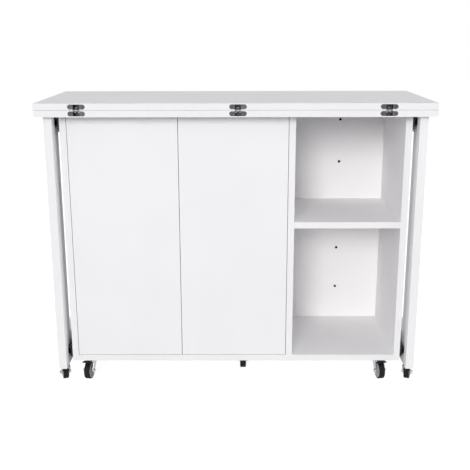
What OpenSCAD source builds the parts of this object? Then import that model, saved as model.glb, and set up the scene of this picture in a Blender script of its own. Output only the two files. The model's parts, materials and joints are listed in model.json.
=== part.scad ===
// Rolling folding table: a cabinet on casters under a two-leaf top. The upper leaf flips forward
// on concealed edge hinges, and two gate frames on ball-bearing slides pull forward to carry it.
// Frame: X to the right, Y to the back, Z up. The origin is on the floor under the top's centre.

/* [Table top] */
// Width of both leaves
top_w = 1067; // [1000:1:1140]
// Depth of both leaves
top_d = 410; // [390:1:430]
// Height of the closed top above the floor
overall_h = 816; // [800:1:860]
// Thickness of one leaf
leaf_t = 17.7; // [17:0.1:19]
// Gap between the two closed leaves
leaf_gap = 0.6; // [0.4:0.1:1]

/* [Cabinet] */
// Width over the side panels
cab_w = 956; // [900:1:980]
// Depth from the front edges to the back of the side panels
cab_d = 327; // [310:1:330]
// How far the cabinet's front stands behind the top's front edge
cab_front_inset = 48; // [44:1:52]
// Thickness of the cabinet boards
board_t = 18; // [16:0.5:19]
// Thickness of the back panel
back_t = 12; // [9:0.5:15]
// Height of the cabinet's underside above the floor
cab_z = 65; // [65:1:70]
// Left face of the partition between the cupboard and the open bay
partition_x = 145; // [120:1:170]
// Top of the shelf in the open bay, above the floor
bay_shelf_z = 482.5; // [440:0.5:520]
// Top of the shelf in the cupboard, above the floor
cupboard_shelf_z = 430; // [400:1:470]

/* [Doors] */
// Gap at a door's hinged edge, top and bottom
door_gap = 1.4; // [1.4:0.1:2.5]
// Gap between the two doors
door_mid_gap = 1.5; // [1.5:0.1:3]
// Distance of the pivot from the door's hinged edge
pivot_from_edge = 14; // [13:0.5:15]
// Distance of the pivot from the door's face
pivot_from_face = 5.5; // [5:0.1:5.5]
// Diameter of a pivot pin
pivot_d = 5; // [4:0.5:5.5]

/* [Gate frames] */
// Thickness of the frame members
gate_t = 23; // [20:0.5:25]
// Width of the stiles
stile_w = 70; // [60:1:75]
// Height of the top rail
top_rail_h = 50; // [46:1:60]
// Height of the bottom rail
bottom_rail_h = 90; // [80:1:100]
// Length of the frame from front to back
gate_len = 350; // [330:1:350]
// How far the frame's front stands behind the top's front edge
gate_front_inset = 18; // [14:1:24]
// Height of the frame's underside above the floor
gate_z = 52; // [52:1:54]

/* [Slides] */
// Width of the channel between cabinet and gate that the slides fill
slide_gap = 12.7; // [12.7:0.1:13.5]
// Height of the outer member
slide_h = 36; // [34:1:38]
// Length of each member
slide_len = 300; // [280:5:310]
// Centre height of the upper slides
slide_top_z = 761; // [750:1:761]
// Centre height of the lower slides
slide_bottom_z = 97; // [90:1:100]

/* [Leaf hinges] */
// Width of a hinge's face plate
plate_w = 46.5; // [44:0.5:48]
// Height of a hinge's face plate
plate_h = 13; // [12:0.5:13]
// Distance of the link pivots behind the flip axis
link_back = 12; // [11:0.5:13]
// Distance of the link pivots from the seam
link_drop = 5; // [4.5:0.1:5]

/* [Cabinet casters] */
// Wheel diameter
wheel_d = 50; // [48:1:50]
// Wheel width
wheel_w = 21; // [18:0.5:22]
// Trail of the wheel's axle behind the swivel
wheel_trail = 24; // [22:1:25]

/* [Gate casters] */
// Wheel diameter
gate_wheel_d = 40; // [38:1:40]
// Wheel width
gate_wheel_w = 18; // [16:0.5:18]
// Trail of the wheel's axle behind the swivel
gate_wheel_trail = 18; // [16:1:19]

/* [Hidden] */
$fn = 64;

BOARD_COLOUR = [0.93, 0.93, 0.93];
TOP_COLOUR = [0.88, 0.88, 0.89];
ZINC_COLOUR = [0.45, 0.45, 0.46];
BLACK_STEEL_COLOUR = [0.06, 0.06, 0.07];
BRIGHT_STEEL_COLOUR = [0.72, 0.72, 0.74];
RUBBER_COLOUR = [0.09, 0.09, 0.1];
BLACK_PLASTIC_COLOUR = [0.05, 0.05, 0.05];
NYLON_COLOUR = [0.8, 0.8, 0.78];

// overlap that lets a cut run clean past a face
cut = 1;
fit_gap = 0.05;

// table top
top_front = -top_d / 2;
seam_z = overall_h - leaf_t - leaf_gap / 2;
underside_z = seam_z - leaf_gap / 2 - leaf_t;

// cabinet
cab_front = top_front + cab_front_inset;
cab_back = cab_front + cab_d;
back_face = cab_back - back_t;
inner_x = cab_w / 2 - board_t;
floor_z = cab_z + board_t;
partition_right = partition_x + board_t;
shelf_setback = 27;
pin_r = 2.5;
pin_in = 8;
pin_out = 6;
pin_from_front = 57;
pin_from_back = 38;
pin_y = [cab_front + pin_from_front, back_face - pin_from_back];
screw_x = 324;
screw_z = [188, 320, 601, 733];
screw_head_r = 3.2;
screw_head_h = 1;
screw_shank_r = 1.8;

// doors
door_w = (partition_x + inner_x - 2 * door_gap - door_mid_gap) / 2;
door_z = floor_z + door_gap;
door_h = underside_z - door_gap - door_z;
door_left_x = -inner_x + door_gap;
door_right_x = partition_x - door_gap - door_w;
pivot_y = cab_front + pivot_from_face;
pivot_left_x = door_left_x + pivot_from_edge;
pivot_right_x = door_right_x + door_w - pivot_from_edge;
pivot_in_door = 16;
pivot_in_bush = 9;
bush_r = 4.2;
bush_depth = 10;
bush_flange_r = 5.2;
bush_flange_h = 0.8;

// push latch
latch_x = (door_left_x + door_w + door_right_x) / 2;
latch_size = [27, 72, 21];
latch_behind_door = 9;
latch_y = cab_front + board_t + latch_behind_door;
plunger_r = 4.5;
plunger_dx = 7;
plunger_len = 62;
plunger_drop = 10;
plunger_door_gap = 0.5;
plunger_travel = 3;
latch_bore_len = plunger_len + plunger_travel;

// gates
gate_in = cab_w / 2 + slide_gap;
gate_front = top_front + gate_front_inset;
gate_back = gate_front + gate_len;
gate_clearance = 1;
gate_top = underside_z - gate_clearance;

// slides: wall thickness and the reach of each C profile across the channel
steel_t = 1.4;
outer_reach = 6.6;
middle_base = 3.2;
middle_reach = 7;
middle_h = 26.4;
inner_reach = 6.3;
inner_h = 18;

// leaf hinges
hinge_x = [-420, 6, 404];
axis_gap = 0.4;
axis_y = top_front - axis_gap;
plate_t = 2.5;
plate_drop = 9;
plate_screw_dx = 16.5;
cup_w = 23;
cup_depth = 23;
cavity_w = 17;
cavity_depth = 20.5;
cavity_drop = 15;
pivot_pin_r = 1.5;
link_tip_back = 0.9;
link_reach = link_back - link_tip_back;
link_len = norm([link_reach, link_drop]);
link_angle = atan2(link_drop, -link_reach);
link_eye_r = 3;
link_tip_r = 2.3;
link_bar_t = 3;
// crossbar of a link: its stretch from the pivot and its thickness
link_cross = [4.2, 7.4];
link_cross_t = 3.8;
// half widths across the hinge of a link's middle part, and of its outer parts from and to
link_middle_w = 2.6;
link_outer_w = [2.9, 7.2];
rivet_r = 1.2;
rivet_len = 2.4;
rivet_head_h = 0.4;
plate_screw_head_r = 3.2;
plate_screw_shank_r = 1.75;
plate_screw_cone_h = 2;
plate_screw_len = 16;

// casters: [x, y, direction of the trail in degrees]
caster_front_left = [-432, -112, -100];
caster_front_right = [422, -112, -80];
caster_rear_left = [-427, 122, 100];
caster_rear_right = [427, 122, 80];
caster_centre = [21, -32, -90];
cabinet_casters = [
    caster_front_left, caster_front_right, caster_rear_left, caster_rear_right, caster_centre
];
stem_x = gate_in + gate_t / 2;
stem_y = gate_front + stile_w / 2;
gate_left_caster = [-stem_x, stem_y, 110];
gate_right_caster = [stem_x, stem_y, 70];
kingpin_r = 4;
running = 0.05;
axle_r = 3;
axle_head_r = 5;
axle_head_h = 2.8;
// wheel section: shares of the wheel's radius, and how far each part stands in from the tyre's side
hub_share = 0.32;
web_in_share = 0.36;
web_out_share = 0.66;
tyre_share = 0.7;
hub_set = 0.5;
web_set = 2.5;
tyre_shoulder = [[2.5, 0], [0.6, 1.6], [0, 4]];
leg_t = 2;
leg_gap = 1.5;
leg_foot_r = 8;
gate_leg_foot_r = 6.5;
// directions from the axle in which the front and back edges of a fork's leg meet its round foot
foot_front = [0.96, 0.28];
foot_back = [-0.9, -0.43];
crown_back = -11;
crown_trail_gap = 5;
crown_t = 3;
race_gap = 0.4;
plate_size = [60, 42, 2.5];
plate_hole_dx = 23;
plate_hole_dy = 14.5;
plate_hole_r = 2.4;
race_r = 16;
race_h = 3.5;
crown_top = cab_z - plate_size[2] - race_h - race_gap;
kingpin_head_r = 6;
kingpin_head_h = 2.6;
kingpin_lap = 1;
gate_flange_h = 2;
gate_flange_r = 11;
gate_race_h = 3;
gate_race_r = 10;
gate_crown_top = gate_z - gate_flange_h - gate_race_h - race_gap;
gate_crown_t = 2.4;
gate_kingpin_head_h = 1.6;
gate_stem_up = 34;

// brake lever: its pivot along the trail and height, and its side view in the same plane
brake_pivot = [14, 52.4];
brake_pin_r = 1.4;
brake_eye_r = 2.6;
brake_half_w = 9;
brake_tab = 13;
brake_lap = 1;
brake_profile = [[14, 49.9], [20, 51.6], [46, 56.6], [47, 58.4], [45, 59.4], [20, 55], [14, 54.9]];
brake_tab_profile = [[36, 55], [46, 56.6], [47, 58.4], [45, 59.4], [36, 57.8]];

// ---- shared shapes ----

// A board between two corners
module board(low, high) {
    translate(low) cube(high - low);
}

// A flat bar with round ends, centred
module stadium(length, height) {
    square([length - height, height], center = true);
    for (side = [-1, 1]) translate([side * (length - height) / 2, 0]) circle(d = height);
}

// A flat outline in X and Z, from the plane y = front back through depth
module edge_cut(x, front, depth, z) {
    translate([x, front + depth, z]) rotate([90, 0, 0]) linear_extrude(depth) children();
}

// Mirror of the lower leaf's hinge side in the seam plane
module leaf_side() {
    translate([0, 0, seam_z]) mirror([0, 0, 1]) translate([0, 0, -seam_z]) children();
}

// ---- cabinet ----

// Pins in the board face at x, under the shelf whose underside is at z
module pin_row(x, z, side, length) {
    for (y = pin_y) {
        translate([x - side * pin_in, y, z - pin_r]) rotate([0, side * 90, 0])
            cylinder(r = pin_r, h = length);
    }
}

module shelf_pin_pair(x, z, side) {
    pin_row(x, z, side, pin_in + pin_out);
}

// Blind holes for one row of shelf pins
module pin_holes(x, z, side) {
    pin_row(x, z, side, pin_in + cut);
}

module side_panel_left() {
    color(BOARD_COLOUR) difference() {
        board([-cab_w / 2, cab_front, cab_z], [-inner_x, cab_back, underside_z]);
        pin_holes(-inner_x, cupboard_shelf_z - board_t, 1);
    }
}

module side_panel_right() {
    color(BOARD_COLOUR) difference() {
        board([inner_x, cab_front, cab_z], [cab_w / 2, cab_back, underside_z]);
        pin_holes(inner_x, bay_shelf_z - board_t, -1);
    }
}

module partition() {
    color(BOARD_COLOUR) difference() {
        board([partition_x, cab_front, floor_z], [partition_right, back_face, underside_z]);
        pin_holes(partition_x, cupboard_shelf_z - board_t, -1);
        pin_holes(partition_right, bay_shelf_z - board_t, 1);
    }
}

module bottom_board() {
    color(BOARD_COLOUR) difference() {
        board([-inner_x, cab_front, cab_z], [inner_x, cab_back, floor_z]);
        for (x = [pivot_left_x, pivot_right_x]) {
            translate([x, pivot_y, floor_z - bush_depth]) cylinder(r = bush_r, h = bush_depth + cut);
        }
    }
}

module back_panel() {
    color(BOARD_COLOUR) difference() {
        board([-inner_x, back_face, floor_z], [inner_x, cab_back, underside_z]);
        for (z = screw_z) {
            translate([screw_x, cab_back + cut, z]) rotate([90, 0, 0])
                cylinder(r = screw_shank_r, h = back_t + 2 * cut);
        }
    }
}

module bay_shelf() {
    color(BOARD_COLOUR)
        board([partition_right, cab_front, bay_shelf_z - board_t], [inner_x, back_face, bay_shelf_z]);
}

module cupboard_shelf() {
    color(BOARD_COLOUR) board(
        [-inner_x, cab_front + shelf_setback, cupboard_shelf_z - board_t],
        [partition_x, back_face, cupboard_shelf_z]
    );
}

module shelf_pins() {
    color(BRIGHT_STEEL_COLOUR) {
        shelf_pin_pair(-inner_x, cupboard_shelf_z - board_t, 1);
        shelf_pin_pair(partition_x, cupboard_shelf_z - board_t, -1);
        shelf_pin_pair(partition_right, bay_shelf_z - board_t, 1);
        shelf_pin_pair(inner_x, bay_shelf_z - board_t, -1);
    }
}

module back_screws() {
    color(BLACK_STEEL_COLOUR) for (z = screw_z) translate([screw_x, back_face, z]) {
        rotate([90, 0, 0]) cylinder(r1 = screw_head_r, r2 = screw_head_r - screw_head_h, h = screw_head_h);
        rotate([-90, 0, 0]) cylinder(r = screw_shank_r, h = back_t);
    }
}

// ---- top and its concealed hinges, drawn for the lower leaf ----

// Room in the leaf's edge for one hinge
module hinge_pocket(x) {
    edge_cut(x, top_front - cut, plate_t + cut, seam_z - plate_drop) stadium(plate_w, plate_h);
    edge_cut(x, top_front - cut, cup_depth + cut, seam_z - plate_drop)
        square([cup_w, plate_h], center = true);
    translate([x - cavity_w / 2, top_front - cut, seam_z - cavity_drop])
        cube([cavity_w, cavity_depth + cut, cavity_drop + cut]);
    for (side = [-1, 1]) {
        edge_cut(x + side * plate_screw_dx, top_front, plate_screw_len, seam_z - plate_drop)
            circle(r = plate_screw_shank_r);
    }
}

// Countersunk screw that holds one end of a face plate
module plate_screw(x) {
    translate([x, top_front, seam_z - plate_drop]) rotate([-90, 0, 0]) {
        cylinder(r1 = plate_screw_head_r, r2 = plate_screw_shank_r, h = plate_screw_cone_h);
        cylinder(r = plate_screw_shank_r, h = plate_screw_len);
    }
}

// Face plate and cup in one casting, with the pin that the link turns on
module hinge_cup(x) {
    difference() {
        union() {
            edge_cut(x, top_front, plate_t, seam_z - plate_drop) stadium(plate_w, plate_h);
            edge_cut(x, top_front, cup_depth, seam_z - plate_drop) square([cup_w, plate_h], center = true);
        }
        translate([x - cavity_w / 2, top_front - cut, seam_z - cavity_drop])
            cube([cavity_w, cavity_depth + cut, cavity_drop + cut]);
        for (side = [-1, 1]) plate_screw(x + side * plate_screw_dx);
    }
    translate([x - cup_w / 2 + cut, axis_y + link_back, seam_z - link_drop])
        rotate([0, 90, 0]) cylinder(r = pivot_pin_r, h = cup_w - 2 * cut);
}

// Side view of a stretch of a link, by its distances from the pivot
module link_bar(stretch, thick) {
    rotate(link_angle) translate([stretch[0], -thick / 2]) square([stretch[1] - stretch[0], thick]);
}

// The round end at the pivot with the bar up to the crossbar
module link_eye() {
    circle(r = link_eye_r);
    link_bar([0, link_cross[1]], link_bar_t);
}

// The round end at the hinge's centre with the bar from the crossbar
module link_tip() {
    rotate(link_angle) translate([link_len, 0]) circle(r = link_tip_r);
    link_bar([link_cross[0], link_len], link_bar_t);
}

// A side view given thickness across the hinge
module link_part(from, to) {
    translate([from, 0, 0]) rotate([90, 0, 90]) linear_extrude(to - from) children();
}

module link_middle() {
    link_part(-link_middle_w, link_middle_w) children();
}

module link_outer() {
    link_part(link_outer_w[0], link_outer_w[1]) children();
    link_part(-link_outer_w[1], -link_outer_w[0]) children();
}

// Link between its pivot in the cup and the hinge's centre. One end is single and the other is forked,
// and a crossbar joins them.
module hinge_link(x, forked_tip) {
    translate([x, axis_y + link_back, seam_z - link_drop]) difference() {
        union() {
            link_part(-link_outer_w[1], link_outer_w[1]) link_bar(link_cross, link_cross_t);
            if (forked_tip) {
                link_middle() link_eye();
                link_outer() link_tip();
                for (side = [-1, 1]) {
                    rivet_x = side * (link_outer_w[1] + rivet_head_h - rivet_len / 2);
                    translate([rivet_x, -link_reach, link_drop]) rotate([0, 90, 0])
                        cylinder(r = rivet_r, h = rivet_len, center = true);
                }
            } else {
                link_middle() link_tip();
                link_outer() link_eye();
            }
        }
        rotate([0, 90, 0])
            cylinder(r = pivot_pin_r + running, h = 2 * (link_outer_w[1] + cut), center = true);
    }
}

module lower_top() {
    color(TOP_COLOUR) difference() {
        board([-top_w / 2, top_front, underside_z], [top_w / 2, top_front + top_d, underside_z + leaf_t]);
        for (x = hinge_x) hinge_pocket(x);
        for (x = [pivot_left_x, pivot_right_x]) {
            translate([x, pivot_y, underside_z - cut]) cylinder(r = bush_r, h = bush_depth + cut);
        }
    }
}

module leaf_top() {
    color(TOP_COLOUR) difference() {
        board([-top_w / 2, top_front, overall_h - leaf_t], [top_w / 2, top_front + top_d, overall_h]);
        leaf_side() for (x = hinge_x) hinge_pocket(x);
    }
}

module hinge_cups_lower() {
    color(ZINC_COLOUR) for (x = hinge_x) hinge_cup(x);
}

module hinge_cups_leaf() {
    color(ZINC_COLOUR) leaf_side() for (x = hinge_x) hinge_cup(x);
}

module hinge_screws_lower() {
    color(ZINC_COLOUR) for (x = hinge_x) for (side = [-1, 1]) {
        plate_screw(x + side * plate_screw_dx);
    }
}

module hinge_screws_leaf() {
    color(ZINC_COLOUR) leaf_side() for (x = hinge_x) for (side = [-1, 1]) {
        plate_screw(x + side * plate_screw_dx);
    }
}

module hinge_links_lower() {
    color(BRIGHT_STEEL_COLOUR) for (x = hinge_x) hinge_link(x, false);
}

module hinge_links_leaf() {
    color(ZINC_COLOUR) leaf_side() for (x = hinge_x) hinge_link(x, true);
}

// ---- doors ----

// Pins in the top and bottom edges of one door
module door_pins(x) {
    translate([x, pivot_y, door_z + door_h - pivot_in_door])
        cylinder(d = pivot_d, h = pivot_in_door + door_gap + pivot_in_bush);
    translate([x, pivot_y, door_z - door_gap - pivot_in_bush])
        cylinder(d = pivot_d, h = pivot_in_door + door_gap + pivot_in_bush);
}

module door_panel(x, pivot_x) {
    difference() {
        translate([x, cab_front, door_z]) cube([door_w, board_t, door_h]);
        door_pins(pivot_x);
    }
}

module door_pivot_bush(x, z, up) {
    translate([x, pivot_y, z]) mirror([0, 0, up]) difference() {
        union() {
            translate([0, 0, -bush_depth]) cylinder(r = bush_r, h = bush_depth);
            cylinder(r = bush_flange_r, h = bush_flange_h);
        }
        translate([0, 0, -bush_depth + fit_gap])
            cylinder(r = pivot_d / 2 + running, h = bush_depth + bush_flange_h + cut);
    }
}

module door_pivot_bushes() {
    color(NYLON_COLOUR) for (x = [pivot_left_x, pivot_right_x]) {
        door_pivot_bush(x, floor_z, 0);
        door_pivot_bush(x, underside_z, 1);
    }
}

module door_left() {
    color(BOARD_COLOUR) door_panel(door_left_x, pivot_left_x);
}

module door_left_pins() {
    color(BRIGHT_STEEL_COLOUR) door_pins(pivot_left_x);
}

module door_right() {
    color(BOARD_COLOUR) door_panel(door_right_x, pivot_right_x);
}

module door_right_pins() {
    color(BRIGHT_STEEL_COLOUR) door_pins(pivot_right_x);
}

// Plunger of the push latch behind one door
module latch_plunger(side) {
    plunger_y = cab_front + board_t + plunger_door_gap;
    translate([latch_x + side * plunger_dx, plunger_y, underside_z - plunger_drop])
        rotate([-90, 0, 0]) cylinder(r = plunger_r, h = plunger_len);
}

module latch_housing() {
    color(BLACK_PLASTIC_COLOUR) difference() {
        translate([latch_x - latch_size[0] / 2, latch_y, underside_z - latch_size[2] + fit_gap])
            cube([latch_size[0], latch_size[1], latch_size[2] - fit_gap]);
        for (side = [-1, 1]) {
            translate([latch_x + side * plunger_dx, latch_y - cut, underside_z - plunger_drop])
                rotate([-90, 0, 0]) cylinder(r = plunger_r + running, h = latch_bore_len + cut);
        }
    }
}

module latch_plunger_left() {
    color(NYLON_COLOUR) latch_plunger(-1);
}

module latch_plunger_right() {
    color(NYLON_COLOUR) latch_plunger(1);
}

// ---- gate frames, drawn for the right side ----

module gate_side(side) {
    mirror([side < 0 ? 1 : 0, 0, 0]) children();
}

module front_stile() {
    difference() {
        board([gate_in, gate_front, gate_z], [gate_in + gate_t, gate_front + stile_w, gate_top]);
        translate([stem_x, stem_y, gate_z - cut]) cylinder(r = kingpin_r, h = gate_stem_up + cut);
    }
}

module rear_stile() {
    board([gate_in, gate_back - stile_w, gate_z], [gate_in + gate_t, gate_back, gate_top]);
}

module rail(low, high) {
    board([gate_in, gate_front + stile_w, low], [gate_in + gate_t, gate_back - stile_w, high]);
}

module caster_stem() {
    stem_from = gate_crown_top - gate_crown_t - kingpin_lap;
    translate([stem_x, stem_y, 0]) {
        translate([0, 0, gate_z - gate_flange_h]) cylinder(r = gate_flange_r, h = gate_flange_h);
        translate([0, 0, gate_crown_top + race_gap]) cylinder(r = gate_race_r, h = gate_race_h);
        translate([0, 0, stem_from]) cylinder(r = kingpin_r, h = gate_z + gate_stem_up - stem_from);
        translate([0, 0, gate_crown_top - gate_crown_t - race_gap - gate_kingpin_head_h])
            cylinder(r = kingpin_head_r, h = gate_kingpin_head_h);
    }
}

// A C profile along Y: its web stands at x = base and its flanges reach to base + reach
module channel(base, reach, height) {
    translate([0, cab_front + slide_len, 0]) rotate([90, 0, 0]) linear_extrude(slide_len) difference() {
        translate([base, -height / 2]) square([reach, height]);
        translate([base + steel_t, -height / 2 + steel_t]) square([reach, height - 2 * steel_t]);
    }
}

module at_slides() {
    for (z = [slide_top_z, slide_bottom_z]) translate([cab_w / 2, 0, z]) children();
}

module slide_outer_pair() {
    at_slides() channel(0, outer_reach, slide_h);
}

module slide_middle_pair() {
    at_slides() channel(middle_base, middle_reach, middle_h);
}

module slide_inner_pair() {
    at_slides() translate([slide_gap, 0, 0]) mirror([1, 0, 0]) channel(0, inner_reach, inner_h);
}

module slide_outer_members() {
    color(BLACK_STEEL_COLOUR) for (side = [-1, 1]) gate_side(side) slide_outer_pair();
}

module slide_middle_members_left() {
    color(BLACK_STEEL_COLOUR) gate_side(-1) slide_middle_pair();
}

module slide_middle_members_right() {
    color(BLACK_STEEL_COLOUR) slide_middle_pair();
}

module gate_left_slide_members() {
    color(BLACK_STEEL_COLOUR) gate_side(-1) slide_inner_pair();
}

module gate_right_slide_members() {
    color(BLACK_STEEL_COLOUR) slide_inner_pair();
}

module gate_left_front_stile() {
    color(BOARD_COLOUR) gate_side(-1) front_stile();
}

module gate_right_front_stile() {
    color(BOARD_COLOUR) front_stile();
}

module gate_left_rear_stile() {
    color(BOARD_COLOUR) gate_side(-1) rear_stile();
}

module gate_right_rear_stile() {
    color(BOARD_COLOUR) rear_stile();
}

module gate_left_top_rail() {
    color(BOARD_COLOUR) gate_side(-1) rail(gate_top - top_rail_h, gate_top);
}

module gate_right_top_rail() {
    color(BOARD_COLOUR) rail(gate_top - top_rail_h, gate_top);
}

module gate_left_bottom_rail() {
    color(BOARD_COLOUR) gate_side(-1) rail(gate_z, gate_z + bottom_rail_h);
}

module gate_right_bottom_rail() {
    color(BOARD_COLOUR) rail(gate_z, gate_z + bottom_rail_h);
}

module gate_left_caster_stem() {
    color(BRIGHT_STEEL_COLOUR) gate_side(-1) caster_stem();
}

module gate_right_caster_stem() {
    color(BRIGHT_STEEL_COLOUR) caster_stem();
}

// ---- casters, drawn with the trail along +X and the axle along Y ----

module at_caster(place) {
    translate([place[0], place[1], 0]) rotate([0, 0, place[2]]) children();
}

// Tyre and hub in one revolved section
module wheel(diameter, width, trail) {
    r = diameter / 2;
    half = width / 2;
    shoulder = [for (step = tyre_shoulder) [r - step[0], half - step[1]]];
    face = concat([
        [axle_r + running, half - hub_set], [hub_share * r, half - hub_set],
        [web_in_share * r, half - web_set], [web_out_share * r, half - web_set], [tyre_share * r, half]
    ], shoulder);
    other_face = [for (i = [len(face) - 1:-1:0]) [face[i][0], -face[i][1]]];
    translate([trail, 0, r]) rotate([90, 0, 0]) rotate_extrude() polygon(concat(face, other_face));
}

// Fork with its axle bolt. The crown carries the bore for the kingpin.
module fork(diameter, width, trail, crown_z, thick, foot_r) {
    r = diameter / 2;
    inner = width / 2 + leg_gap;
    outer = inner + leg_t;
    front = trail - crown_trail_gap;
    axle_at = [trail, r];
    difference() {
        union() {
            translate([crown_back, -outer, crown_z - thick]) cube([front - crown_back, 2 * outer, thick]);
            for (side = [-1, 1]) {
                translate([0, side * (inner + leg_t / 2) + leg_t / 2, 0]) rotate([90, 0, 0])
                linear_extrude(leg_t) {
                    translate(axle_at) circle(r = foot_r);
                    polygon([
                        [crown_back, crown_z], [front, crown_z],
                        axle_at + foot_r * foot_front, axle_at + foot_r * foot_back
                    ]);
                }
            }
        }
        translate([0, 0, crown_z - thick - cut]) cylinder(r = kingpin_r + running, h = thick + 2 * cut);
    }
    translate([trail, 0, r]) rotate([90, 0, 0]) {
        cylinder(r = axle_r, h = 2 * outer, center = true);
        for (side = [-1, 1]) {
            translate([0, 0, side * (outer + axle_head_h / 2)])
                cylinder(r = axle_head_r, h = axle_head_h, center = true);
        }
    }
}

// Something along the brake lever's pivot axis
module at_brake_pivot() {
    translate([brake_pivot[0], 0, brake_pivot[1]]) rotate([90, 0, 0]) children();
}

// Pivot pin between the fork's legs that the brake lever turns on
module brake_pin() {
    half = wheel_w / 2 + leg_gap + leg_t / 2;
    at_brake_pivot() cylinder(r = brake_pin_r, h = 2 * half, center = true);
}

// Lever over the wheel, with its eye and the tab that the foot presses, on the side given
module brake_lever(side) {
    tab_from = side > 0 ? brake_half_w + brake_tab : brake_lap - brake_half_w;
    difference() {
        union() {
            translate([0, brake_half_w, 0]) rotate([90, 0, 0])
                linear_extrude(2 * brake_half_w) polygon(brake_profile);
            translate([0, tab_from, 0]) rotate([90, 0, 0])
                linear_extrude(brake_tab + brake_lap) polygon(brake_tab_profile);
            at_brake_pivot() cylinder(r = brake_eye_r, h = 2 * brake_half_w, center = true);
        }
        at_brake_pivot() cylinder(r = brake_pin_r + running, h = 3 * brake_half_w, center = true);
    }
}

module cabinet_fork(place) {
    at_caster(place) fork(wheel_d, wheel_w, wheel_trail, crown_top, crown_t, leg_foot_r);
}

module cabinet_wheel(place) {
    at_caster(place) wheel(wheel_d, wheel_w, wheel_trail);
}

module caster_plate() {
    plate_bottom = cab_z - plate_size[2];
    pin_from = crown_top - crown_t - kingpin_lap;
    difference() {
        translate([-plate_size[0] / 2, -plate_size[1] / 2, plate_bottom]) cube(plate_size);
        for (x = [-1, 1]) for (y = [-1, 1]) {
            translate([x * plate_hole_dx, y * plate_hole_dy, plate_bottom - cut])
                cylinder(r = plate_hole_r, h = plate_size[2] + 2 * cut);
        }
    }
    translate([0, 0, plate_bottom - race_h]) cylinder(r = race_r, h = race_h);
    translate([0, 0, pin_from]) cylinder(r = kingpin_r, h = plate_bottom - pin_from);
    translate([0, 0, crown_top - crown_t - race_gap - kingpin_head_h])
        cylinder(r = kingpin_head_r, h = kingpin_head_h);
}

module caster_plates() {
    color(BRIGHT_STEEL_COLOUR) for (place = cabinet_casters) {
        translate([place[0], place[1], 0]) rotate([0, 0, 90]) caster_plate();
    }
}

module caster_front_left_fork() {
    color(BRIGHT_STEEL_COLOUR) {
        cabinet_fork(caster_front_left);
        at_caster(caster_front_left) brake_pin();
    }
}

module caster_front_right_fork() {
    color(BRIGHT_STEEL_COLOUR) {
        cabinet_fork(caster_front_right);
        at_caster(caster_front_right) brake_pin();
    }
}

module caster_rear_left_fork() {
    color(BRIGHT_STEEL_COLOUR) cabinet_fork(caster_rear_left);
}

module caster_rear_right_fork() {
    color(BRIGHT_STEEL_COLOUR) cabinet_fork(caster_rear_right);
}

module caster_centre_fork() {
    color(BRIGHT_STEEL_COLOUR) cabinet_fork(caster_centre);
}

module caster_front_left_wheel() {
    color(RUBBER_COLOUR) cabinet_wheel(caster_front_left);
}

module caster_front_right_wheel() {
    color(RUBBER_COLOUR) cabinet_wheel(caster_front_right);
}

module caster_rear_left_wheel() {
    color(RUBBER_COLOUR) cabinet_wheel(caster_rear_left);
}

module caster_rear_right_wheel() {
    color(RUBBER_COLOUR) cabinet_wheel(caster_rear_right);
}

module caster_centre_wheel() {
    color(RUBBER_COLOUR) cabinet_wheel(caster_centre);
}

module caster_front_left_brake() {
    color(BLACK_PLASTIC_COLOUR) at_caster(caster_front_left) brake_lever(-1);
}

module caster_front_right_brake() {
    color(BLACK_PLASTIC_COLOUR) at_caster(caster_front_right) brake_lever(1);
}

module gate_fork(place) {
    at_caster(place)
        fork(gate_wheel_d, gate_wheel_w, gate_wheel_trail, gate_crown_top, gate_crown_t, gate_leg_foot_r);
}

module gate_wheel(place) {
    at_caster(place) wheel(gate_wheel_d, gate_wheel_w, gate_wheel_trail);
}

module gate_left_caster_fork() {
    color(BRIGHT_STEEL_COLOUR) gate_fork(gate_left_caster);
}

module gate_right_caster_fork() {
    color(BRIGHT_STEEL_COLOUR) gate_fork(gate_right_caster);
}

module gate_left_caster_wheel() {
    color(RUBBER_COLOUR) gate_wheel(gate_left_caster);
}

module gate_right_caster_wheel() {
    color(RUBBER_COLOUR) gate_wheel(gate_right_caster);
}

side_panel_left();
side_panel_right();
partition();
bottom_board();
back_panel();
bay_shelf();
cupboard_shelf();
shelf_pins();
back_screws();
lower_top();
hinge_cups_lower();
hinge_screws_lower();
door_pivot_bushes();
latch_housing();
slide_outer_members();
caster_plates();
leaf_top();
hinge_cups_leaf();
hinge_screws_leaf();
hinge_links_lower();
hinge_links_leaf();
door_left();
door_left_pins();
door_right();
door_right_pins();
latch_plunger_left();
latch_plunger_right();
gate_left_front_stile();
gate_left_rear_stile();
gate_left_top_rail();
gate_left_bottom_rail();
gate_left_slide_members();
gate_left_caster_stem();
gate_right_front_stile();
gate_right_rear_stile();
gate_right_top_rail();
gate_right_bottom_rail();
gate_right_slide_members();
gate_right_caster_stem();
slide_middle_members_left();
slide_middle_members_right();
caster_front_left_fork();
caster_front_left_wheel();
caster_front_left_brake();
caster_front_right_fork();
caster_front_right_wheel();
caster_front_right_brake();
caster_rear_left_fork();
caster_rear_left_wheel();
caster_rear_right_fork();
caster_rear_right_wheel();
caster_centre_fork();
caster_centre_wheel();
gate_left_caster_fork();
gate_left_caster_wheel();
gate_right_caster_fork();
gate_right_caster_wheel();
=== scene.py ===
"""Looks of the rolling folding table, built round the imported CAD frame.

Everything is in metres: X to the right, Y to the back, Z up, and the floor at Z = 0.
"""

import json
import math

import bmesh
import bpy
from mathutils import Matrix, Vector


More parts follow.
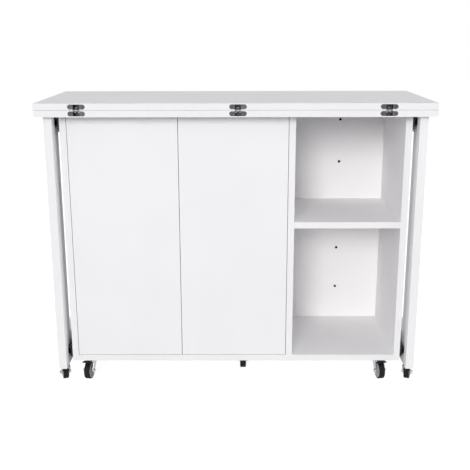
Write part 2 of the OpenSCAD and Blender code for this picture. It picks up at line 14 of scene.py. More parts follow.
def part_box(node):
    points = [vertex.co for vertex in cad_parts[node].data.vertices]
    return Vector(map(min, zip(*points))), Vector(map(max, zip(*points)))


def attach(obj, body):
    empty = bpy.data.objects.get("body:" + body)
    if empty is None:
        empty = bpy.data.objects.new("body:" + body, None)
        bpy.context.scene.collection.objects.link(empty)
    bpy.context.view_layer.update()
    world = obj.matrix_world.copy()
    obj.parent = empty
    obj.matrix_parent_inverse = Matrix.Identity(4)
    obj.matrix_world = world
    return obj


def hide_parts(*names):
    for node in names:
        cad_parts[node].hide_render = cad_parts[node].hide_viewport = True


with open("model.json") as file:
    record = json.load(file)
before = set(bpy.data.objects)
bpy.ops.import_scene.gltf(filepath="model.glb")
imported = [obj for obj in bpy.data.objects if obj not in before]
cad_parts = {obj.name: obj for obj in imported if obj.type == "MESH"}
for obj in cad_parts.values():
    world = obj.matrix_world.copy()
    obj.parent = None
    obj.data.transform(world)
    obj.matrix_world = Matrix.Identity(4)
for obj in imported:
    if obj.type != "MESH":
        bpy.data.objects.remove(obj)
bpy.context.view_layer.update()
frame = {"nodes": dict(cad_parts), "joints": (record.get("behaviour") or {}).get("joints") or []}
MM = 0.001
# vertices closer than this are the same
WELD = 0.00001
# in degrees: CAD edges that bend more are rounded, and those of added pieces are shaded sharp
SHARP_ANGLE = 35
# Y of the hinge cups' face plates
CUP_FACE_Y = -0.2046

# ---- camera: the photograph's viewing angle, fitted to its edges and corners ----

IMAGE_PX = 470
FOCAL_PX = 771.6
SENSOR_MM = 36.0
CAMERA_AT = Vector((0.0039, -2.2479, 1.0071))
PITCH, YAW, ROLL = (math.radians(a) for a in (15.025, 0.179, -0.1))

camera_data = bpy.data.cameras.new("camera")
camera_data.sensor_width = SENSOR_MM
camera_data.lens = FOCAL_PX * SENSOR_MM / IMAGE_PX
camera = bpy.data.objects.new("camera", camera_data)
bpy.context.scene.collection.objects.link(camera)
forward = Vector((
    -math.sin(YAW) * math.cos(PITCH),
    math.cos(YAW) * math.cos(PITCH),
    -math.sin(PITCH),
))
level = Vector((math.cos(YAW), math.sin(YAW), 0))
upward = level.cross(forward)
right = level * math.cos(ROLL) + upward * math.sin(ROLL)
upward = right.cross(forward)
turn = Matrix((right, upward, -forward)).transposed()
camera.matrix_world = Matrix.Translation(CAMERA_AT) @ turn.to_4x4()
bpy.context.scene.camera = camera
bpy.context.scene.view_settings.view_transform = "Standard"


# ---- materials ----


def new_material(name):
    made = bpy.data.materials.new(name)
    made.use_nodes = True
    tree = made.node_tree
    tree.nodes.clear()
    shader = tree.nodes.new("ShaderNodeBsdfPrincipled")
    output = tree.nodes.new("ShaderNodeOutputMaterial")
    tree.links.new(shader.outputs["BSDF"], output.inputs["Surface"])
    return made, tree, shader


def noise_of(tree, scale, detail):
    """Noise in the object's own coordinates, which move with it. The scale is in cells a metre."""
    where = tree.nodes.new("ShaderNodeTexCoord")
    noise = tree.nodes.new("ShaderNodeTexNoise")
    noise.inputs["Scale"].default_value = scale
    noise.inputs["Detail"].default_value = detail
    tree.links.new(where.outputs["Object"], noise.inputs["Vector"])
    return noise.outputs["Fac"]


# the middle of a noise's values, where most of them lie
NOISE_RANGE = (0.3, 0.7)


def ranged(tree, source, low, high, between=NOISE_RANGE):
    """The source's values between two limits, mapped to low and high."""
    node = tree.nodes.new("ShaderNodeMapRange")
    node.inputs["From Min"].default_value = between[0]
    node.inputs["From Max"].default_value = between[1]
    node.inputs["To Min"].default_value = low
    node.inputs["To Max"].default_value = high
    tree.links.new(source, node.inputs["Value"])
    return node.outputs["Result"]


def tint(tree, shader, source, shades):
    """Base colour between the dark and the light shade."""
    ramp = tree.nodes.new("ShaderNodeValToRGB")
    for stop, position, shade in zip(ramp.color_ramp.elements, NOISE_RANGE, shades):
        stop.position = position
        stop.color = (*shade, 1)
    tree.links.new(source, ramp.inputs["Fac"])
    tree.links.new(ramp.outputs["Color"], shader.inputs["Base Color"])


def roughen(tree, shader, source, low, high):
    tree.links.new(ranged(tree, source, low, high), shader.inputs["Roughness"])


def emboss(tree, shader, source, strength, depth):
    bump = tree.nodes.new("ShaderNodeBump")
    bump.inputs["Strength"].default_value = strength
    bump.inputs["Distance"].default_value = depth
    tree.links.new(source, bump.inputs["Height"])
    tree.links.new(bump.outputs["Normal"], shader.inputs["Normal"])


def lacquered(name, shades, rough, pearl_scale):
    """White board: a faint cloudiness, a fine pearl texture in the coat and uneven gloss."""
    made, tree, shader = new_material(name)
    clouds = noise_of(tree, scale=5, detail=2)
    patches = noise_of(tree, scale=38, detail=4)
    pearl = noise_of(tree, scale=pearl_scale, detail=3)
    tint(tree, shader, clouds, shades)
    roughen(tree, shader, patches, rough - 0.05, rough + 0.07)
    shader.inputs["Specular IOR Level"].default_value = 0.25
    emboss(tree, shader, pearl, strength=0.05, depth=0.3 * MM)
    return made


def metal(name, shades, rough, grain_scale, bump=0.08, metallic=1.0):
    """Plated, cast or enamelled metal: an uneven tint, and a grain in its gloss and relief."""
    made, tree, shader = new_material(name)
    stains = noise_of(tree, scale=90, detail=4)
    grain = noise_of(tree, scale=grain_scale, detail=4)
    tint(tree, shader, stains, shades)
    shader.inputs["Metallic"].default_value = metallic
    roughen(tree, shader, grain, rough - 0.07, rough + 0.1)
    emboss(tree, shader, grain, strength=bump, depth=0.2 * MM)
    return made


def moulded(name, shades, rough, grain_scale, bump, specular=0.5):
    """Moulded plastic or rubber: a faint unevenness of tint and gloss, and the mould's grain."""
    made, tree, shader = new_material(name)
    stains = noise_of(tree, scale=120, detail=3)
    patches = noise_of(tree, scale=220, detail=3)
    grain = noise_of(tree, scale=grain_scale, detail=2)
    tint(tree, shader, stains, shades)
    roughen(tree, shader, patches, rough - 0.06, rough + 0.08)
    shader.inputs["Specular IOR Level"].default_value = specular
    emboss(tree, shader, grain, strength=bump, depth=0.3 * MM)
    return made


# sockets of the Mix node for colours
MIX_FACTOR, MIX_FIRST, MIX_SECOND = 0, 6, 7
MIXED_COLOUR = 2


def paint_light_and_shade_by_depth(material, depths_mm, painted_colour):
    """Painted light and shade by depth: between two depths behind the cups' face plates the colour
    turns to a painted one.
    """
    tree = material.node_tree
    shader = next(node for node in tree.nodes if node.type == "BSDF_PRINCIPLED")
    own_colour = shader.inputs["Base Color"].links[0].from_socket
    where = tree.nodes.new("ShaderNodeTexCoord")
    parts = tree.nodes.new("ShaderNodeSeparateXYZ")
    tree.links.new(where.outputs["Object"], parts.inputs["Vector"])
    between = [CUP_FACE_Y + depth * MM for depth in depths_mm]
    share = ranged(tree, parts.outputs["Y"], 0, 1, between)
    mix = tree.nodes.new("ShaderNodeMix")
    mix.data_type = "RGBA"
    tree.links.new(share, mix.inputs[MIX_FACTOR])
    tree.links.new(own_colour, mix.inputs[MIX_FIRST])
    mix.inputs[MIX_SECOND].default_value = (*painted_colour, 1)
    tree.links.new(mix.outputs[MIXED_COLOUR], shader.inputs["Base Color"])


# dark and light shade of each finish
WHITE = ((0.882, 0.872, 0.876), (0.908, 0.898, 0.902))
WORKTOP_WHITE = ((0.874, 0.866, 0.868), (0.896, 0.888, 0.890))
ZINC = ((0.085, 0.085, 0.088), (0.145, 0.145, 0.149))
ZINC_LINK = ((0.27, 0.27, 0.274), (0.36, 0.36, 0.364))
BRIGHT_LINK = ((0.42, 0.42, 0.425), (0.52, 0.52, 0.525))
BRIGHT = ((0.42, 0.42, 0.425), (0.56, 0.56, 0.565))
BLACK_ENAMEL = ((0.012, 0.012, 0.013), (0.024, 0.024, 0.026))
ZINC_PLATE = ((0.45, 0.45, 0.455), (0.62, 0.62, 0.625))
RUBBER = ((0.007, 0.007, 0.0075), (0.014, 0.014, 0.015))
BLACK_PLASTIC = ((0.008, 0.008, 0.009), (0.015, 0.015, 0.016))
NYLON = ((0.70, 0.69, 0.66), (0.78, 0.77, 0.74))
PHOSPHATE = ((0.004, 0.004, 0.0045), (0.008, 0.008, 0.0085))
GREY_PLASTIC = ((0.36, 0.36, 0.365), (0.46, 0.46, 0.465))

MATERIALS = {
    "white_board": lacquered("white_board_lacquer", WHITE, 0.56, 900),
    "white_worktop": lacquered("white_worktop_lacquer", WORKTOP_WHITE, 0.64, 1100),
    "white_frame": lacquered("white_frame_lacquer", WHITE, 0.56, 900),
    "grey_zinc": metal("zinc_die_cast", ZINC, 0.5, 700, bump=0.15),
    "bright_steel": metal("bright_plating", BRIGHT, 0.46, 900),
    "black_steel": metal("black_enamelled_steel", BLACK_ENAMEL, 0.36, 500, metallic=0.0),
    "caster_steel": metal("bright_zinc_plate", ZINC_PLATE, 0.34, 420, bump=0.1),
    "wheel_rubber": moulded("black_rubber", RUBBER, 0.7, 800, bump=0.25, specular=0.2),
    "black_plastic": moulded(
        "black_moulded_plastic", BLACK_PLASTIC, 0.5, 1500, bump=0.15, specular=0.3
    ),
    "pale_nylon": moulded("pale_nylon_moulded", NYLON, 0.45, 900, bump=0.1),
}
# finishes of pieces that differ from their slot's own
BLACK_PHOSPHATE = moulded("black_phosphate", PHOSPHATE, 0.75, 900, bump=0.15, specular=0.1)
WHEEL_CORE = moulded("grey_core_moulded", GREY_PLASTIC, 0.5, 900, bump=0.15)
CUP_ZINC_PAINTED_SHADE = metal("zinc_cup_painted_shade", ZINC, 0.5, 700, bump=0.15)
LEAF_LINK = metal("zinc_link", ZINC_LINK, 0.5, 700, bump=0.15)
LOWER_LINK_PAINTED_HIGHLIGHT = metal("bright_link_painted_highlight", BRIGHT_LINK, 0.55, 700, bump=0.15)
# painted shade: from 0 to 8 mm behind the face plates the cups' zinc turns to an even grey, a
# little darker than its mean
paint_light_and_shade_by_depth(CUP_ZINC_PAINTED_SHADE, (0, 8), (0.1, 0.1, 0.102))
# painted highlight: from 0.8 to 3.5 mm behind the face plates the lower links turn nearly white,
# where the cups shade them
paint_light_and_shade_by_depth(LOWER_LINK_PAINTED_HIGHLIGHT, (0.8, 3.5), (0.95, 0.95, 0.955))

# ---- CAD nodes: each slot's finish, and edges softened as on real boards and castings ----

SOFT_EDGE = {
    "white_board": 0.18 * MM,
    "white_worktop": 0.1 * MM,
    "white_frame": 1.0 * MM,
    "black_plastic": 0.5 * MM,
    "caster_steel": 0.35 * MM,
}
PLAIN_EDGES = ("caster_plates", "back_panel")
OWN_FINISH = {
    # the hinge cups' finish has painted shade deep inside them
    "hinge_cups_lower": CUP_ZINC_PAINTED_SHADE,
    "hinge_cups_leaf": CUP_ZINC_PAINTED_SHADE,
    # the lower links' finish has a painted highlight inside the cups
    "hinge_links_lower": LOWER_LINK_PAINTED_HIGHLIGHT,
    "hinge_links_leaf": LEAF_LINK,
}


def soften(obj, width):
    """Rounded edges, as modifiers, so that the frame's own mesh stays as it is."""
    weld = obj.modifiers.new("joined", "WELD")
    weld.merge_threshold = WELD
    bevel = obj.modifiers.new("soft_edge", "BEVEL")
    bevel.width = width
    bevel.segments = 2
    bevel.limit_method = "ANGLE"
    bevel.angle_limit = math.radians(SHARP_ANGLE)
    bevel.harden_normals = False
    normals = obj.modifiers.new("flat_faces", "WEIGHTED_NORMAL")
    normals.mode = "FACE_AREA"
    normals.weight = 100


for node_name, node in sorted(frame["nodes"].items()):
    for place in node.material_slots:
        wanted = place.material.name.split(".")[0]
        place.material = OWN_FINISH.get(node_name, MATERIALS[wanted])
        if wanted in SOFT_EDGE and node_name not in PLAIN_EDGES:
            soften(node, SOFT_EDGE[wanted])


# ---- building added pieces ----


def joint(name):
    return next(entry for entry in frame["joints"] if entry["name"] == name)


def joint_at(name):
    """The joint's place at rest."""
    return Vector(joint(name)["pos_m"])


def connected(start, seen):
    """The vertices joined to the first by edges. They are added to those seen."""
    group = [start]
    seen.add(start)
    for vert in group:
        for edge in vert.link_edges:
            other = edge.other_vert(vert)
            if other not in seen:
                seen.add(other)
                group.append(other)
    return group


def solids(node_name):
    """The (lowest, highest) corners of each solid in a CAD node, ordered by X, then Y, then Z."""
    mesh = bmesh.new()
    mesh.from_mesh(frame["nodes"][node_name].data)
    bmesh.ops.remove_doubles(mesh, verts=mesh.verts, dist=WELD)
    boxes = []
    seen = set()
    for start in mesh.verts:
        if start in seen:
            continue
        group = connected(start, seen)
        low = Vector([min(vert.co[i] for vert in group) for i in range(3)])
        high = Vector([max(vert.co[i] for vert in group) for i in range(3)])
        boxes.append((low, high))
    mesh.free()
    return sorted(boxes, key=lambda box: [round(c, 4) for c in box[0]])


def piece_from(name, mesh, body, slot, smooth_angle=SHARP_ANGLE, finish=None):
    """An object made from a bmesh. It rides on the body and has the slot's finish, or its own."""
    data = bpy.data.meshes.new(name)
    bmesh.ops.recalc_face_normals(mesh, faces=mesh.faces)
    mesh.to_mesh(data)
    mesh.free()
    data.materials.append(finish or MATERIALS[slot])
    data.shade_smooth()
    data.set_sharp_from_angle(angle=math.radians(smooth_angle))
    made = bpy.data.objects.new(name, data)
    bpy.context.scene.collection.objects.link(made)
    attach(made, body)
    return made


def in_mm(*values):
    """Values given in millimetres, in metres."""
    return tuple(MM * value for value in values)


def points_in_mm(points):
    return [in_mm(*point) for point in points]


def circle(mesh, radius, height, segments):
    """Vertices round Z, or the single one on it where the radius is nil."""
    if radius < WELD:
        return [mesh.verts.new((0, 0, height))]
    angles = [math.tau * i / segments for i in range(segments)]
    return [mesh.verts.new((radius * math.cos(a), radius * math.sin(a), height)) for a in angles]


def bridge(mesh, one, two, segments):
    """The faces between two closed rows of vertices, either of which may be a single point."""
    for i in range(segments):
        j = i + 1
        corners = [one[i % len(one)], one[j % len(one)], two[j % len(two)], two[i % len(two)]]
        distinct = list(dict.fromkeys(corners))
        if len(distinct) > 2:
            mesh.faces.new(distinct)


def revolved(profile, segments=24):
    """A solid turned about Z from (radius, height) points that start and end on the axis."""
    mesh = bmesh.new()
    circles = [circle(mesh, radius, height, segments) for radius, height in profile]
    for one, two in zip(circles, circles[1:]):
        bridge(mesh, one, two, segments)
    return mesh


def ring_of(half_section, segments):
    """A ring about Z. Its section's upper half is given, as (radius, height) from inside out."""
    lower_half = [(radius, -height) for radius, height in reversed(half_section)]
    section = half_section + lower_half
    mesh = bmesh.new()
    circles = [circle(mesh, radius, height, segments) for radius, height in section]
    for one, two in zip(circles, circles[1:] + circles[:1]):
        bridge(mesh, one, two, segments)
    return mesh


def rounded_bar(size, softness):
    """A bar centred on its own origin with rounded edges."""
    mesh = bmesh.new()
    bmesh.ops.create_cube(mesh, size=1, matrix=Matrix.Diagonal((*size, 1)))
    bmesh.ops.bevel(
        mesh, geom=mesh.edges[:], offset=softness, segments=2, affect="EDGES", profile=0.5
    )
    return mesh


def copies(master, places):
    """One mesh with the master at every place. The master is used up."""
    data = bpy.data.meshes.new("master")
    master.to_mesh(data)
    master.free()
    joined = bmesh.new()
    for place in places:
        data.transform(place)
        joined.from_mesh(data)
        data.transform(place.inverted())
    bpy.data.meshes.remove(data)
    return joined


def merged(meshes):
    """One mesh of several, which are used up."""
    joined = bmesh.new()
    for mesh in meshes:
        data = bpy.data.meshes.new("part")
        mesh.to_mesh(data)
        mesh.free()
        joined.from_mesh(data)
        bpy.data.meshes.remove(data)
    return joined


def placed(mesh, matrix):
    bmesh.ops.transform(mesh, matrix=matrix, verts=mesh.verts)
    return mesh


def facing(direction, at, spin=0.0):
    """Placement that turns +Z to the direction, after a spin about it."""
    turned = Vector(direction).to_track_quat("Z", "Y").to_matrix().to_4x4()
    return Matrix.Translation(at) @ turned @ Matrix.Rotation(spin, 4, "Z")


# ---- screws ----

FRONT = (0, -1, 0)
DOWN = (0, 0, -1)


def cross_cutter(radius, depth):
    """A tapered cross, as of a driver's tip, that reaches from just above the head into it."""
    arm = 0.62 * radius
    waist = 0.15 * radius
    above = 0.3 * radius
    taper = 0.5
    half_outline = [
        (arm, -waist), (arm, waist), (waist, waist),
        (waist, arm), (-waist, arm), (-waist, waist),
    ]
    outline = half_outline + [(-x, -y) for x, y in half_outline]
    mesh = bmesh.new()
    top = [mesh.verts.new((x, y, above)) for x, y in outline]
    bottom = [mesh.verts.new((taper * x, taper * y, -depth)) for x, y in outline]
    mesh.faces.new(top)
    mesh.faces.new(bottom[::-1])
    bridge(mesh, top, bottom, len(outline))
    return mesh


def with_cross(head, radius, depth):
    """The head with a cross recess cut into its top, which lies at Z = 0."""
    made = []
    for part in (head, cross_cutter(radius, depth)):
        bmesh.ops.recalc_face_normals(part, faces=part.faces)
        data = bpy.data.meshes.new("cutting")
        part.to_mesh(data)
        part.free()
        made.append(bpy.data.objects.new("cutting", data))
        bpy.context.scene.collection.objects.link(made[-1])
    screw, cutter = made
    cut = screw.modifiers.new("recess", "BOOLEAN")
    cut.operation = "DIFFERENCE"
    cut.solver = "EXACT"
    cut.object = cutter
    bpy.context.view_layer.update()
    result = bmesh.new()
    result.from_mesh(screw.evaluated_get(bpy.context.evaluated_depsgraph_get()).to_mesh())
    for obj in made:
        data = obj.data
        bpy.data.objects.remove(obj)
        bpy.data.meshes.remove(data)
    return result


def flat_screw(radius, length):
    """Countersunk screw with its head's top at Z = 0 and its shank along -Z."""
    face = 0.9 * radius
    edge = 0.12 * radius
    neck = 0.62 * radius
    shank = 0.55 * radius
    profile = [
        (0, 0), (face, 0), (radius, -edge), (shank, -neck), (shank, -length), (0, -length)
    ]
    return with_cross(revolved(profile), radius, 0.45 * radius)


def pan_screw(radius, height, length):
    """Screw with a domed head. The head's underside lies at Z = -height."""
    shank = 0.5 * radius
    dome_height = 0.8 * height
    fullness = 0.8
    steps = 5
    dome = []
    for i in range(steps + 1):
        a = math.pi / 2 * i / steps
        dome.append((radius * math.sin(a) ** fullness, -dome_height * (1 - math.cos(a))))
    end = -height - length
    profile = dome + [(radius, -height), (shank, -height), (shank, end), (0, end)]
    return with_cross(revolved(profile), radius, 0.5 * height)


def spin_of(index):
    """A turn within a quarter for each screw, unlike its neighbours'."""
    return math.radians(37 * index % 90)


def screw_places(boxes):
    """Where the screws of some CAD boxes stand: at the middle of each front face."""
    places = []
    for index, (low, high) in enumerate(boxes):
        middle = (low + high) / 2
        places.append(facing(FRONT, (middle.x, low.y, middle.z), spin_of(index)))
    return places


for node_name, body in (("hinge_screws_lower", "cabinet"), ("hinge_screws_leaf", "leaf")):
    boxes = solids(node_name)
    low, high = boxes[0]
    screw = flat_screw((high.x - low.x) / 2, high.y - low.y)
    screws = copies(screw, screw_places(boxes))
    screws = piece_from(node_name + "_recessed", screws, body, "grey_zinc")
    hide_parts(node_name)

# the photo's dots are wider than the CAD's heads
BACK_HEAD_GROWTH = 1.3
BACK_HEAD_HEIGHT = 1.2 * MM

boxes = solids("back_screws")
low, high = boxes[0]
screw = pan_screw(
    BACK_HEAD_GROWTH * (high.x - low.x) / 2, BACK_HEAD_HEIGHT, high.y - low.y - BACK_HEAD_HEIGHT
)
screws = copies(screw, screw_places(boxes))
screws = piece_from(
    "back_screws_recessed", screws, "cabinet", "black_steel", finish=BLACK_PHOSPHATE
)
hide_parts("back_screws")

CABINET_CASTERS = ("front_left", "front_right", "rear_left", "rear_right", "centre")
PLATE_HOLE = Vector((14.5, 23, 0)) * MM
PLATE_THICKNESS = 2.5 * MM
# radius and height of the head, length of the shank
PLATE_SCREW = in_mm(3.8, 1.8, 1.5)

plate_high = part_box("caster_plates")[1]
head_top = plate_high.z - PLATE_THICKNESS - PLATE_SCREW[1]
places = []
for name in CABINET_CASTERS:
    swivel = joint_at("caster_" + name + "_swivel")
    for dx in (-1, 1):
        for dy in (-1, 1):
            at = (swivel.x + dx * PLATE_HOLE.x, swivel.y + dy * PLATE_HOLE.y, head_top)
            places.append(facing(DOWN, at, spin_of(len(places))))
screws = copies(pan_screw(*PLATE_SCREW), places)
piece_from("caster_plate_screws", screws, "cabinet", "caster_steel")

# shares of the latch housing's length at which its screws stand
LATCH_SCREWS_AT = (0.3, 0.85)
LATCH_SCREW = in_mm(2.8, 1.2, 1)

low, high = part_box("latch_housing")
places = []
for index, share in enumerate(LATCH_SCREWS_AT, start=3):
    at = ((low.x + high.x) / 2, low.y + share * (high.y - low.y), low.z - LATCH_SCREW[1])
    places.append(facing(DOWN, at, spin_of(index)))
screws = copies(pan_screw(*LATCH_SCREW), places)
piece_from("latch_screws", screws, "cabinet", "bright_steel")

# ---- casters: black tyres on grey ribbed cores, and the axles' nuts and heads ----
# all sizes in millimetres

CASTERS = ["caster_" + name for name in CABINET_CASTERS]
CASTERS += ["gate_left_caster", "gate_right_caster"]
# half of the CAD wheel's width, and how much less half of the tread's is
CABINET_WHEEL = (10.5, 2.0)
GATE_WHEEL = (9, 1.1)
TYRE_DEPTH = 3.3
BORE = 3.05
RIBS = 8
RIB_THICKNESS = 1.4
RIB_HEIGHT = 2.6
# the fork's leg and the axle's end, from the hub outwards
LEG_OUT = 3.5
AXLE_HEAD = 2.8
WHEEL_SEGMENTS = 72

NUT = [
    (0, 1.9), (2.1, 1.9), (2.5, 1.5), (2.5, 1.0), (3.6, 1.0), (4.1, 0.6), (4.1, -0.2), (0, -0.2)
]
HEX_HEAD = [(0, 1.6), (3.6, 1.6), (4.4, 1.1), (4.4, -0.2), (0, -0.2)]


def tyre_of(radius, rim, tread):
    """A tyre about Z with rounded shoulders, from the rim's radius to the wheel's."""
    half_section = [
        (rim - 0.3, tread - 0.6), (rim + 0.4, tread), (radius - 1.6, tread),
        (radius - 0.75, tread - 0.35), (radius - 0.2, tread - 1.1), (radius, tread - 2.4),
    ]
    return ring_of(points_in_mm(half_section), WHEEL_SEGMENTS)


def core_of(radius, rim, tread, half_width):
    """A core about Z: a hub round the bore, a web with ribs on both sides, and the rim's lips."""
    hub = half_width - 0.5
    lip = tread + 0.7
    web = tread - 1.6
    half_section = [
        (BORE, hub - 0.4), (BORE + 0.4, hub), (0.27 * radius, hub), (0.3 * radius, hub - 0.4),
        (0.33 * radius, web), (rim - 3.2, web), (rim - 2.4, lip - 0.3), (rim - 2.1, lip),
        (rim - 0.5, lip), (rim - 0.1, lip - 0.3), (rim, tread - 0.5),
    ]
    core = ring_of(points_in_mm(half_section), WHEEL_SEGMENTS)
    rib_start = 0.31 * radius
    rib_length = rim - 2.4 - rib_start
    rib = rounded_bar(in_mm(rib_length, RIB_THICKNESS, RIB_HEIGHT), 0.4 * MM)
    rib_middle = in_mm(rib_start + rib_length / 2, 0, web + 0.6)
    rib = placed(rib, Matrix.Translation(rib_middle))
    turns = []
    for flip in (0, math.pi):
        for i in range(RIBS):
            around = Matrix.Rotation(math.tau * i / RIBS, 4, "Z")
            turns.append(Matrix.Rotation(flip, 4, "X") @ around)
    return merged([core, copies(rib, turns)])


for caster in CASTERS:
    axle = joint_at(caster + "_roll")
    axis = Vector(joint(caster + "_roll")["axis"]).normalized()
    radius = axle.z / MM
    half_width, inset = GATE_WHEEL if "gate" in caster else CABINET_WHEEL
    tread = half_width - inset
    rim = radius - TYRE_DEPTH
    wheel = caster + "_wheel"
    upright = facing(axis, axle)

    tyre = placed(tyre_of(radius, rim, tread), upright)
    tyre = piece_from(wheel + "_tyre", tyre, wheel, "wheel_rubber", smooth_angle=50)
    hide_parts(wheel)
    core = placed(core_of(radius, rim, tread, half_width), upright)
    piece_from(wheel + "_core", core, wheel, "pale_nylon", finish=WHEEL_CORE)

    out = axis * (half_width + LEG_OUT + AXLE_HEAD) * MM
    nut = placed(revolved(points_in_mm(NUT)), facing(axis, axle + out))
    head = placed(revolved(points_in_mm(HEX_HEAD), 6), facing(-axis, axle - out))
    piece_from(caster + "_axle_ends", merged([nut, head]), caster + "_fork", "caster_steel")

# ---- brake levers: an arm over the wheel, a foot plate with grip ribs and a raised heel ----
# side views by the distance along the trail and the height above the floor, in millimetres

LEVER_PIVOT = (14, 52.4)
ARM = [(14, 49.9), (20, 51.6), (46, 56.6), (47, 58.4), (45, 59.4), (20, 55), (14, 54.9)]
ARM_HALF_WIDTH = 7.6
EYE_RADIUS = 2.6
FOOT_PLATE = [(35.5, 54.9), (46, 56.6), (47, 58.4), (45, 59.4), (35.5, 57.7)]
FOOT_HALF_WIDTH = 12.6
HEEL = [(38, 57.5), (45.2, 58.8), (45.9, 61.8), (44.4, 63.2), (39.4, 62.8)]
HEEL_HALF_WIDTH = 6.9
# the grip ribs lie on the foot plate's slope, beside the heel
GRIP_RIBS = [37.6 + 2.1 * i for i in range(4)]
GRIP_ASIDE = 9.6
GRIP_SIZE = (0.9, 4.4, 1.2)
SLOPE_START = (36, 57.9)
SLOPE = 1.6 / 9


def slab(side_view, half_width, softness):
    """A side view's outline as a solid across the lever, with rounded edges."""
    mesh = bmesh.new()
    sides = []
    for y in (-half_width, half_width):
        sides.append([mesh.verts.new(in_mm(x, y, z)) for x, z in side_view])
    mesh.faces.new(sides[0])
    mesh.faces.new(sides[1][::-1])
    bridge(mesh, sides[0], sides[1], len(side_view))
    bmesh.ops.recalc_face_normals(mesh, faces=mesh.faces)
    bmesh.ops.bevel(
        mesh,
        geom=mesh.edges[:],
        offset=softness * MM,
        segments=3,
        affect="EDGES",
        profile=0.5,
        clamp_overlap=True,
    )
    return mesh


def grip_ribs():
    tilt = Matrix.Rotation(-math.atan(SLOPE), 4, "Y")
    places = []
    for along in GRIP_RIBS:
        top = SLOPE_START[1] + (along - SLOPE_START[0]) * SLOPE
        for side in (-1, 1):
            at = in_mm(along, side * GRIP_ASIDE, top)
            places.append(Matrix.Translation(at) @ tilt)
    return copies(rounded_bar(in_mm(*GRIP_SIZE), 0.3 * MM), places)


def lever_eye():
    """The round end of the arm, on the lever's pivot."""
    half = ARM_HALF_WIDTH
    profile = [(0, half), (EYE_RADIUS, half), (EYE_RADIUS, -half), (0, -half)]
    pivot = in_mm(LEVER_PIVOT[0], 0, LEVER_PIVOT[1])
    return placed(revolved(points_in_mm(profile)), facing((0, 1, 0), pivot))


for side_name in ("left", "right"):
    caster = "caster_front_" + side_name
    swivel = joint_at(caster + "_swivel")
    trail = joint_at(caster + "_roll") - swivel
    heading = Matrix.Rotation(math.atan2(trail.y, trail.x), 4, "Z")
    lever = merged([
        slab(ARM, ARM_HALF_WIDTH, softness=0.4),
        slab(FOOT_PLATE, FOOT_HALF_WIDTH, softness=0.8),
        slab(HEEL, HEEL_HALF_WIDTH, softness=0.7),
        lever_eye(),
        grip_ribs(),
    ])
    lever = placed(lever, Matrix.Translation((swivel.x, swivel.y, 0)) @ heading)
    brake = caster + "_brake"
    pedal = piece_from(brake + "_pedal", lever, brake, "black_plastic", smooth_angle=40)
    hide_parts(brake)

# ---- slides: rows of balls and the cages that hold them ----

BALL_PITCH = 9 * MM
BALL_STEPS = 6
BALL_SEGMENTS = 10
CAGE_REACH = 145 * MM
CAGE_SHEET = 0.5 * MM
CAGE_BEND = 1.2 * MM
# how far the cage's lips reach past the balls' centres
CAGE_LIP = 1.3 * MM
# from the outer member's front end to the cage's
END_CLEARANCE = 1.5 * MM
# by row: its distance from the cabinet's side and from the slide's middle, the balls' radius,
# and the distance of the cage's web from the cabinet's side
ROWS = {
    "outer": in_mm(4.9, 14.9, 1.6, 2.3),
    "inner": in_mm(8.3, 10.4, 1.3, 5.4),
}


def ball_row(x, z, radius, front):
    """A row of balls along Y from the front of its cage."""
    angles = [math.pi * i / BALL_STEPS for i in range(BALL_STEPS + 1)]
    arc = [(radius * math.sin(a), -radius * math.cos(a)) for a in angles]
    count = int(CAGE_REACH / BALL_PITCH)
    places = [Matrix.Translation((x, front + (i + 0.5) * BALL_PITCH, z)) for i in range(count)]
    return copies(revolved(arc, BALL_SEGMENTS), places)


def cage_strip(outline, front):
    """A bent strip of sheet along Y. The outline is its centre line in X and Z."""
    points = [Vector((x, z)) for x, z in outline]
    sides = []
    for i, point in enumerate(points):
        before = points[max(i - 1, 0)]
        after = points[min(i + 1, len(points) - 1)]
        along = (after - before).normalized()
        normal = Vector((-along.y, along.x)) * CAGE_SHEET / 2
        sides.append((point + normal, point - normal))
    loop = [pair[0] for pair in sides] + [pair[1] for pair in reversed(sides)]
    mesh = bmesh.new()
    ends = []
    for y in (front, front + CAGE_REACH):
        ends.append([mesh.verts.new((point.x, y, point.y)) for point in loop])
    bridge(mesh, ends[0], ends[1], len(loop))
    for ring in ends:
        for i in range(len(points) - 1):
            mesh.faces.new((ring[i], ring[i + 1], ring[-2 - i], ring[-1 - i]))
    return mesh


def cage_outline(from_side, from_middle, web):
    """A cage's centre line, as distances from the cabinet's side and from the slide's middle."""
    lip = from_side + CAGE_LIP
    half_web = from_middle - CAGE_BEND
    upper = [(lip, from_middle), (web + CAGE_BEND, from_middle), (web, half_web)]
    return upper + [(out, -height) for out, height in reversed(upper)]


for side_name, sign in (("left", -1), ("right", 1)):
    outer = [box for box in solids("slide_outer_members") if (box[0].x + box[1].x) * sign > 0]
    for row_name, (from_side, from_middle, radius, web) in ROWS.items():
        balls = []
        cages = []
        for low, high in outer:
            base = min(abs(low.x), abs(high.x))
            middle_z = (low.z + high.z) / 2
            front = low.y + END_CLEARANCE
            for row_z in (middle_z - from_middle, middle_z + from_middle):
                balls.append(ball_row(sign * (base + from_side), row_z, radius, front))
            outline = cage_outline(from_side, from_middle, web)
            outline = [(sign * (base + out), middle_z + height) for out, height in outline]
            cages.append(cage_strip(outline, front))
        body = "cabinet" if row_name == "outer" else "slide_middle_" + side_name
        ending = row_name + "_" + side_name
        piece_from("slide_balls_" + ending, merged(balls), body, "bright_steel", smooth_angle=60)
        piece_from("slide_cages_" + ending, merged(cages), body, "black_steel")

# ---- stage: floor and world ----

FLOOR_SIZE = 14.0
# the floor's own colour, and the level at which the camera, gloss and glass see it
FLOOR_OWN = 0.35
FLOOR_SHOWN = 0.9
SKY_COLOUR = (0.94, 0.955, 1.0)
SKY_STRENGTH = 0.51


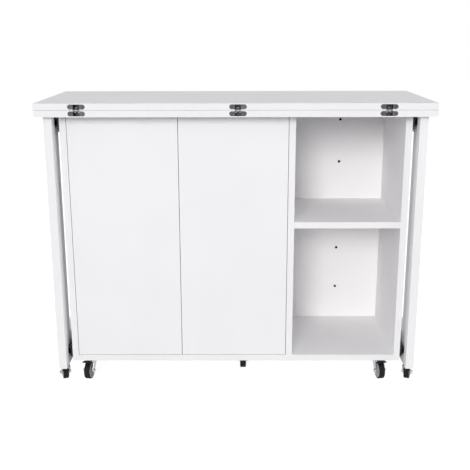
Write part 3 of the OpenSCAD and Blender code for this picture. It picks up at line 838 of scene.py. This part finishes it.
def stage_material(name, own, shown):
    """A pale matt stage that the camera, gloss and glass see as white, with its shadows kept."""
    made = bpy.data.materials.new(name)
    made.use_nodes = True
    tree = made.node_tree
    tree.nodes.clear()
    matt = tree.nodes.new("ShaderNodeBsdfDiffuse")
    matt.inputs["Color"].default_value = (own, own, own, 1)
    glow = tree.nodes.new("ShaderNodeEmission")
    path = tree.nodes.new("ShaderNodeLightPath")
    gloss = tree.nodes.new("ShaderNodeMath")
    gloss.operation = "MAXIMUM"
    seen = tree.nodes.new("ShaderNodeMath")
    seen.operation = "MAXIMUM"
    level_of = tree.nodes.new("ShaderNodeMath")
    level_of.operation = "MULTIPLY"
    level_of.inputs[1].default_value = shown
    both = tree.nodes.new("ShaderNodeAddShader")
    output = tree.nodes.new("ShaderNodeOutputMaterial")
    link = tree.links.new
    link(path.outputs["Is Glossy Ray"], gloss.inputs[0])
    link(path.outputs["Is Transmission Ray"], gloss.inputs[1])
    link(path.outputs["Is Camera Ray"], seen.inputs[0])
    link(gloss.outputs["Value"], seen.inputs[1])
    link(seen.outputs["Value"], level_of.inputs[0])
    link(level_of.outputs["Value"], glow.inputs["Strength"])
    link(matt.outputs["BSDF"], both.inputs[0])
    link(glow.outputs["Emission"], both.inputs[1])
    link(both.outputs["Shader"], output.inputs["Surface"])
    return made


half = FLOOR_SIZE / 2
corners = [(-half, -half, 0), (half, -half, 0), (half, half, 0), (-half, half, 0)]
floor_mesh = bpy.data.meshes.new("floor")
floor_mesh.from_pydata(corners, [], [(0, 1, 2, 3)])
floor_mesh.materials.append(stage_material("floor_paper", FLOOR_OWN, FLOOR_SHOWN))
floor = bpy.data.objects.new("floor", floor_mesh)
bpy.context.scene.collection.objects.link(floor)

world = bpy.data.worlds.new("studio")
bpy.context.scene.world = world
world.use_nodes = True
sky = world.node_tree
sky.nodes.clear()
path = sky.nodes.new("ShaderNodeLightPath")
plain = sky.nodes.new("ShaderNodeBackground")
plain.inputs["Color"].default_value = (*SKY_COLOUR, 1)
plain.inputs["Strength"].default_value = SKY_STRENGTH
white = sky.nodes.new("ShaderNodeBackground")
white.inputs["Color"].default_value = (1, 1, 1, 1)
white.inputs["Strength"].default_value = 1.0
choice = sky.nodes.new("ShaderNodeMixShader")
output = sky.nodes.new("ShaderNodeOutputWorld")
sky.links.new(path.outputs["Is Camera Ray"], choice.inputs["Fac"])
sky.links.new(plain.outputs["Background"], choice.inputs[1])
sky.links.new(white.outputs["Background"], choice.inputs[2])
sky.links.new(choice.outputs["Shader"], output.inputs["Surface"])

# ---- lamps ----

LAMP_DISTANCE = 3
WARM = (1.0, 0.99, 0.98)
COOL = (0.97, 0.98, 1.0)
# level, azimuth from the front towards +X, elevation and spread in degrees, colour
LAMPS = {
    "key_light": (0.52, -12, 17.5, 22, WARM),
    "right_fill": (0.32, 75, 6, 50, COOL),
    "left_fill": (0.17, -62, 6, 50, COOL),
    "back_right_fill": (0.13, 135, 8, 50, COOL),
    "back_left_fill": (0.13, -135, 8, 50, COOL),
}


def soft_sun(name, level, azimuth, elevation, spread, colour):
    """A distant soft lamp. Level 1 lights a surface that faces it as brightly as its colour."""
    data = bpy.data.lights.new(name, "SUN")
    data.energy = level * math.pi
    data.angle = math.radians(spread)
    data.color = colour
    lamp = bpy.data.objects.new(name, data)
    a = math.radians(azimuth)
    e = math.radians(elevation)
    towards = Vector((math.sin(a) * math.cos(e), -math.cos(a) * math.cos(e), math.sin(e)))
    lamp.location = towards * LAMP_DISTANCE
    lamp.rotation_mode = "QUATERNION"
    lamp.rotation_quaternion = towards.to_track_quat("Z", "Y")
    bpy.context.scene.collection.objects.link(lamp)


for name, settings in LAMPS.items():
    soft_sun(name, *settings)
